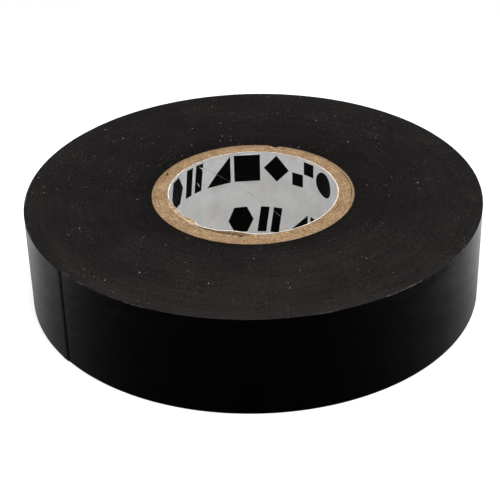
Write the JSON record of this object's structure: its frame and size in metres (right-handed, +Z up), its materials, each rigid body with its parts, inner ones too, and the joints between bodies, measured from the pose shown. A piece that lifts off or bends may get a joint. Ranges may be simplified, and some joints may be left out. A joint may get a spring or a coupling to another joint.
{
  "type": "electrical tape roll",
  "caption": "Roll of black PVC insulation tape wound on a spiral kraft paper core with a printed white liner, its cut free end lying down and able to peel up.",
  "frame": {"origin": "where the bore axis meets the lower end face, the face the roll lies on", "axes": "+Z up along the bore axis, the winding axis. The cut free end lies at 218.3 degrees from +X seen from above, and the last turn runs clockwise from it"},
  "size_m": [0.0841, 0.084, 0.019],
  "materials": {
    "black_tape": "glossy smooth outer turn, matte slit end faces",
    "kraft_board": "matte brown spiral-wound kraft board, fibrous where slit",
    "liner_paper": "white coated paper with black printed marks"
  },
  "bodies": {
    "roll": {"core_liner": "liner_paper", "core_ply_1": "kraft_board", "core_ply_2": "kraft_board", "core_ply_3": "kraft_board", "core_ply_4": "kraft_board", "core_ply_5": "kraft_board", "tape_pack": "black_tape", "outer_wrap": "black_tape"},
    "tail_1": {"free_end_1": "black_tape"},
    "tail_2": {"free_end_2": "black_tape"},
    "tail_3": {"free_end_3": "black_tape"},
    "tail_4": {"free_end_4": "black_tape"},
    "tail_5": {"free_end_5": "black_tape"},
    "tail_6": {"free_end_6": "black_tape"},
    "tail_7": {"free_end_7": "black_tape"},
    "tail_8": {"free_end_8": "black_tape"},
    "tail_9": {"free_end_9": "black_tape"},
    "tail_10": {"free_end_10": "black_tape"},
    "tail_11": {"free_end_11": "black_tape"},
    "tail_12": {"free_end_12": "black_tape"}
  },
  "joints": [
    {"name": "peel_1", "type": "hinge", "parent": "roll", "child": "tail_1", "pos_m": [-0.04136, 0.00779, 0.0095], "axis": [0, 0, -1], "range_deg": [0, 7.5]},
    {"name": "peel_2", "type": "hinge", "parent": "tail_1", "child": "tail_2", "pos_m": [-0.04181, 0.00483, 0.0095], "axis": [0, 0, -1], "range_deg": [0, 10]},
    {"name": "peel_3", "type": "hinge", "parent": "tail_2", "child": "tail_3", "pos_m": [-0.04205, 0.00184, 0.0095], "axis": [0, 0, -1], "range_deg": [0, 12]},
    {"name": "peel_4", "type": "hinge", "parent": "tail_3", "child": "tail_4", "pos_m": [-0.04208, -0.00116, 0.0095], "axis": [0, 0, -1], "range_deg": [0, 13.5]},
    {"name": "peel_5", "type": "hinge", "parent": "tail_4", "child": "tail_5", "pos_m": [-0.04189, -0.00415, 0.0095], "axis": [0, 0, -1], "range_deg": [0, 13.5]},
    {"name": "peel_6", "type": "hinge", "parent": "tail_5", "child": "tail_6", "pos_m": [-0.04149, -0.00713, 0.0095], "axis": [0, 0, -1], "range_deg": [0, 13]},
    {"name": "peel_7", "type": "hinge", "parent": "tail_6", "child": "tail_7", "pos_m": [-0.04088, -0.01006, 0.0095], "axis": [0, 0, -1], "range_deg": [0, 12.5]},
    {"name": "peel_8", "type": "hinge", "parent": "tail_7", "child": "tail_8", "pos_m": [-0.04006, -0.01295, 0.0095], "axis": [0, 0, -1], "range_deg": [0, 11.5]},
    {"name": "peel_9", "type": "hinge", "parent": "tail_8", "child": "tail_9", "pos_m": [-0.03903, -0.01577, 0.0095], "axis": [0, 0, -1], "range_deg": [0, 10.5]},
    {"name": "peel_10", "type": "hinge", "parent": "tail_9", "child": "tail_10", "pos_m": [-0.03781, -0.01851, 0.0095], "axis": [0, 0, -1], "range_deg": [0, 9.5]},
    {"name": "peel_11", "type": "hinge", "parent": "tail_10", "child": "tail_11", "pos_m": [-0.0364, -0.02115, 0.0095], "axis": [0, 0, -1], "range_deg": [0, 8.5]},
    {"name": "peel_12", "type": "hinge", "parent": "tail_11", "child": "tail_12", "pos_m": [-0.0348, -0.02369, 0.0095], "axis": [0, 0, -1], "range_deg": [0, 7]}
  ],
  "couplings": [
    {"joint": "peel_2", "follows": "peel_1", "ratio": 1.3333},
    {"joint": "peel_3", "follows": "peel_1", "ratio": 1.6},
    {"joint": "peel_4", "follows": "peel_1", "ratio": 1.8},
    {"joint": "peel_5", "follows": "peel_1", "ratio": 1.8},
    {"joint": "peel_6", "follows": "peel_1", "ratio": 1.7333},
    {"joint": "peel_7", "follows": "peel_1", "ratio": 1.6667},
    {"joint": "peel_8", "follows": "peel_1", "ratio": 1.5333},
    {"joint": "peel_9", "follows": "peel_1", "ratio": 1.4},
    {"joint": "peel_10", "follows": "peel_1", "ratio": 1.2667},
    {"joint": "peel_11", "follows": "peel_1", "ratio": 1.1333},
    {"joint": "peel_12", "follows": "peel_1", "ratio": 0.93333}
  ]
}
